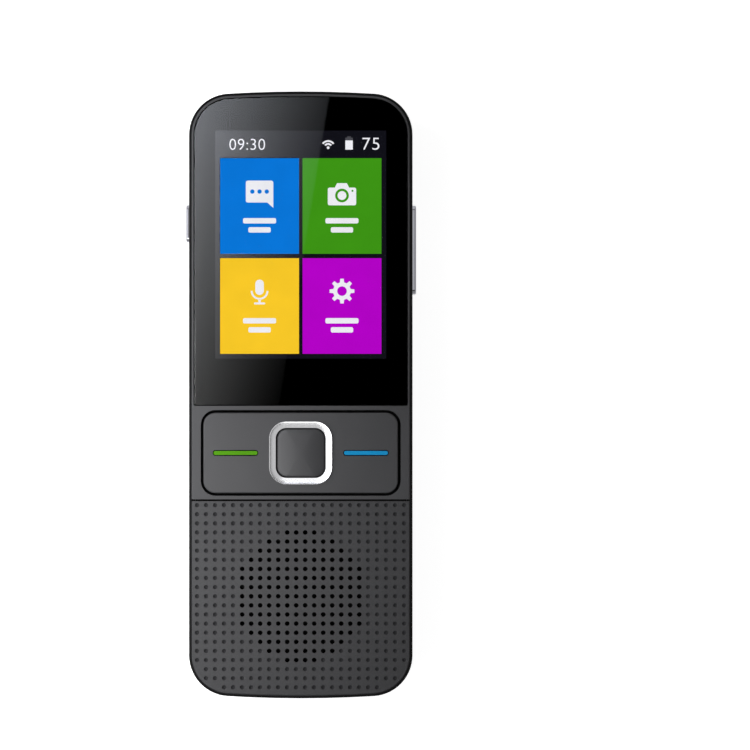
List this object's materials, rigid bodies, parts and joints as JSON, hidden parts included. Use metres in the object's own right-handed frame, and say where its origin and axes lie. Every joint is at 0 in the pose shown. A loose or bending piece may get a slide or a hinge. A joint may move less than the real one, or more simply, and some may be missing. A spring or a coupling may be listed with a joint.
{
  "type": "handheld translator",
  "caption": "Slim handheld voice translator with a touch display, tilting language key with a square select key, speaker grille, side keys, rear camera and slide-off battery cover.",
  "frame": {"origin": "middle of the footprint, on the plane of the camera boss's outer face, with the unit lying on its back", "axes": "+X to the right of the display, +Y towards the display's top end, +Z out of the display"},
  "size_m": [0.0496, 0.1304, 0.0157],
  "materials": {
    "frame_plastic": "fine satin, moulded",
    "front_plastic": "satin, moulded, fine spark texture",
    "rear_plastic": "soft-touch satin, charcoal with a blue tint",
    "inner_plastic": "as moulded",
    "steel": "bright zinc",
    "brass": "turned",
    "gold_contact": "gold plated",
    "cover_glass": "clear, polished",
    "black_ink": "screen-printed under glass",
    "foam": "die-cut foam",
    "lcd_panel": "lit colour display",
    "lcd_tray": "white moulding",
    "flex": "amber polyimide film",
    "key_plastic": "satin lacquer",
    "green_light": "lit, diffusing",
    "blue_light": "lit, diffusing",
    "ring_metal": "bright satin metal",
    "silicone": "translucent grey",
    "polyester_film": "clear film",
    "button_metal": "satin silver",
    "board_green": "solder mask",
    "chip_black": "epoxy",
    "ceramic": "ceramic",
    "connector_ivory": "as moulded",
    "battery_can": "wrapped in a bare dark film",
    "magnet": "nickel plated",
    "copper": "enamelled wire",
    "cone_film": "formed film",
    "dust_mesh": "woven",
    "window_black": "polished, back-printed",
    "stop_grey": "satin",
    "lens_glass": "coated",
    "phosphor": "yellow phosphor under a clear dome"
  },
  "bodies": {
    "chassis": {"side_frame": "frame_plastic", "front_cover": "front_plastic", "grille_panel": "front_plastic", "rear_housing": "rear_plastic", "housing_screws": "steel", "screw_inserts": "brass", "display_glass": "cover_glass", "border_print": "black_ink", "glass_gasket": "foam", "lcd_cell": "lcd_panel", "backlight_tray": "lcd_tray", "lcd_flex": "flex", "key_retainer": "inner_plastic", "dome_sheet": "polyester_film", "key_domes": "steel", "power_flex": "flex", "volume_flex": "flex", "side_domes": "steel", "main_board": "board_green", "shield_can": "steel", "processor_chip": "chip_black", "memory_chip": "chip_black", "radio_module": "steel", "board_parts": "ceramic", "board_connectors": "connector_ivory", "lower_board": "board_green", "link_flex": "flex", "charge_socket": "steel", "socket_tongue": "chip_black", "microphone": "steel", "microphone_boot": "silicone", "antenna": "flex", "antenna_spring": "gold_contact", "battery_pack": "battery_can", "battery_cap": "inner_plastic", "battery_terminals": "gold_contact", "contact_block": "inner_plastic", "battery_contacts": "gold_contact", "speaker_basket": "inner_plastic", "speaker_magnet": "magnet", "speaker_coil": "copper", "speaker_diaphragm": "cone_film", "speaker_gasket": "foam", "speaker_mesh": "dust_mesh", "camera_window": "window_black", "lens_ring": "stop_grey", "camera_lens": "lens_glass", "camera_module": "inner_plastic", "flash_lens": "phosphor", "flash_led": "connector_ivory"},
    "battery_cover": {"battery_cover": "rear_plastic"},
    "language_key": {"key_plate": "key_plastic", "green_light_bar": "green_light", "blue_light_bar": "blue_light", "key_ring": "ring_metal", "key_pads": "silicone"},
    "select_button": {"select_key": "key_plastic", "select_pad": "silicone"},
    "power_key": {"power_button": "button_metal"},
    "volume_key": {"volume_button": "button_metal"}
  },
  "joints": [
    {"name": "battery_cover_slide", "type": "slide", "parent": "chassis", "child": "battery_cover", "axis": [0, -1, 0], "range_m": [0, 0.092]},
    {"name": "language_key_tilt", "type": "hinge", "parent": "chassis", "child": "language_key", "pos_m": [0, -0.01245, 0.01282], "axis": [0, 1, 0], "range_deg": [-1, 1], "stiffness_Nm_per_rad": 0.6},
    {"name": "select_key_press", "type": "slide", "parent": "chassis", "child": "select_button", "axis": [0, 0, -1], "range_m": [0, 0.0003], "stiffness_N_per_m": 3000},
    {"name": "power_key_press", "type": "slide", "parent": "chassis", "child": "power_key", "axis": [1, 0, 0], "range_m": [0, 0.00025], "stiffness_N_per_m": 3000},
    {"name": "volume_key_tilt", "type": "hinge", "parent": "chassis", "child": "volume_key", "pos_m": [0.0218, 0.0312, 0.0103], "axis": [0, 0, 1], "range_deg": [-1.5, 1.5], "stiffness_Nm_per_rad": 0.5}
  ]
}
